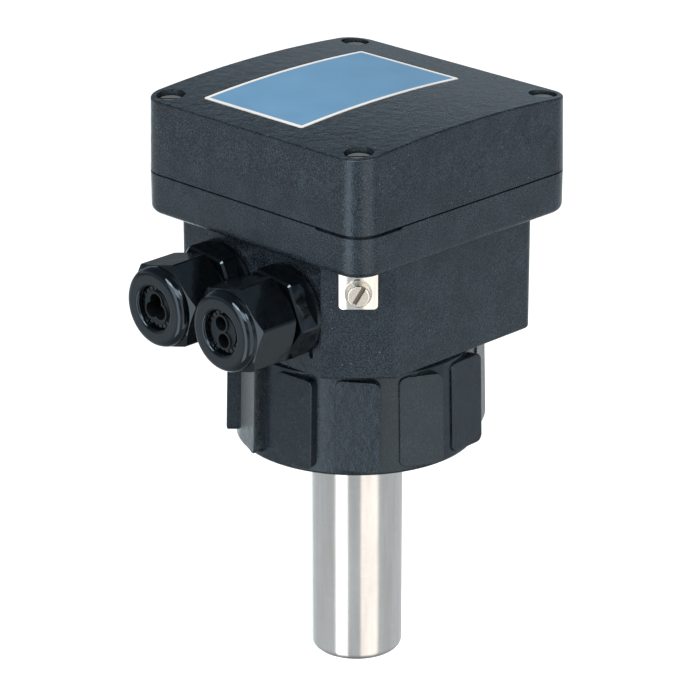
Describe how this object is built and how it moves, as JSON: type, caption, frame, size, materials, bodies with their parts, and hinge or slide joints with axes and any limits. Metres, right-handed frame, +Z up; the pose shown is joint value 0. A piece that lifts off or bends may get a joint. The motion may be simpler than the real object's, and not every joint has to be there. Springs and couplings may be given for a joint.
{
  "type": "electromagnetic flow meter",
  "caption": "Insertion flow meter: square black head with crowned lid, two cable glands, earth terminal, grip-pad union nut and a stainless sensor finger.",
  "frame": {"origin": "on the sensor finger's axis, in the plane of the collar's sealing face", "axes": "+Z up through the head and lid, the finger points to -Z, the cable glands point to -Y, and the earth terminal faces +X and -Y"},
  "size_m": [0.0892, 0.1086, 0.1766],
  "materials": {
    "head_plastic": "glass-filled, fine moulded grain",
    "nut_plastic": "moulded, satin",
    "gland_polyamide": "polished mould, glossy",
    "seal_rubber": "matt",
    "label_film": "printed film, satin",
    "stainless": "turned and ground",
    "plated_steel": "bright plated",
    "brass": "turned",
    "holder_plastic": "machined",
    "copper": "enamelled wire",
    "soft_iron": "machined",
    "bobbin_plastic": "moulded",
    "board_laminate": "solder mask",
    "terminal_plastic": "moulded",
    "component_black": "moulded",
    "capacitor_sleeve": "shrunk sleeve",
    "socket_plastic": "moulded"
  },
  "bodies": {
    "head": {"base_housing": "head_plastic", "lid_gasket": "seal_rubber", "lid_inserts": "brass", "sensor_collar": "nut_plastic", "fitting_seal_ring": "seal_rubber", "sensor_finger": "stainless", "finger_bush": "stainless", "bush_seal_ring": "seal_rubber", "finger_clamp_ring": "plated_steel", "clamp_ring_screws": "plated_steel", "electrode_holder": "holder_plastic", "electrode_left": "stainless", "electrode_right": "stainless", "coil_core": "soft_iron", "coil_bobbin": "bobbin_plastic", "coil_winding": "copper", "earth_plate": "plated_steel", "earth_washer": "plated_steel", "circuit_board": "board_laminate", "board_screws": "plated_steel", "supply_terminal": "terminal_plastic", "output_terminal": "terminal_plastic", "terminal_screws": "plated_steel", "power_converter": "component_black", "board_capacitors": "capacitor_sleeve", "processor_chip": "component_black", "sensor_plug_socket": "socket_plastic", "gland_washer_rear": "seal_rubber", "gland_body_rear": "gland_polyamide", "gland_seal_rear": "seal_rubber", "gland_washer_front": "seal_rubber", "gland_body_front": "gland_polyamide", "gland_seal_front": "seal_rubber"},
    "lid": {"lid": "head_plastic", "lid_label": "label_film"},
    "union_nut": {"union_nut": "nut_plastic"},
    "gland_nut_rear": {"gland_nut_rear": "gland_polyamide"},
    "gland_nut_front": {"gland_nut_front": "gland_polyamide"},
    "earth_screw": {"earth_screw": "plated_steel"},
    "lid_screw_1": {"lid_screw_1": "stainless"},
    "lid_screw_2": {"lid_screw_2": "stainless"},
    "lid_screw_3": {"lid_screw_3": "stainless"},
    "lid_screw_4": {"lid_screw_4": "stainless"}
  },
  "joints": [
    {"name": "lid_lift", "type": "slide", "parent": "head", "child": "lid", "axis": [0, 0, 1], "range_m": [0, 0.06]},
    {"name": "union_nut_turn", "type": "hinge", "parent": "head", "child": "union_nut", "pos_m": [0, 0, 0], "axis": [0, 0, 1], "continuous": true},
    {"name": "gland_nut_rear_turn", "type": "hinge", "parent": "head", "child": "gland_nut_rear", "pos_m": [-0.0185, -0.05, 0.032], "axis": [0, -1, 0], "continuous": true},
    {"name": "gland_nut_front_turn", "type": "hinge", "parent": "head", "child": "gland_nut_front", "pos_m": [0.009, -0.05, 0.032], "axis": [0, -1, 0], "continuous": true},
    {"name": "earth_screw_turn", "type": "hinge", "parent": "head", "child": "earth_screw", "pos_m": [0.02915, -0.02915, 0.0404], "axis": [0.7071, -0.7071, 0], "continuous": true},
    {"name": "lid_screw_1_turn", "type": "hinge", "parent": "lid", "child": "lid_screw_1", "pos_m": [-0.0378, -0.0378, 0.08], "axis": [0, 0, 1], "continuous": true},
    {"name": "lid_screw_2_turn", "type": "hinge", "parent": "lid", "child": "lid_screw_2", "pos_m": [-0.0378, 0.0378, 0.08], "axis": [0, 0, 1], "continuous": true},
    {"name": "lid_screw_3_turn", "type": "hinge", "parent": "lid", "child": "lid_screw_3", "pos_m": [0.0378, -0.0378, 0.08], "axis": [0, 0, 1], "continuous": true},
    {"name": "lid_screw_4_turn", "type": "hinge", "parent": "lid", "child": "lid_screw_4", "pos_m": [0.0378, 0.0378, 0.08], "axis": [0, 0, 1], "continuous": true}
  ]
}
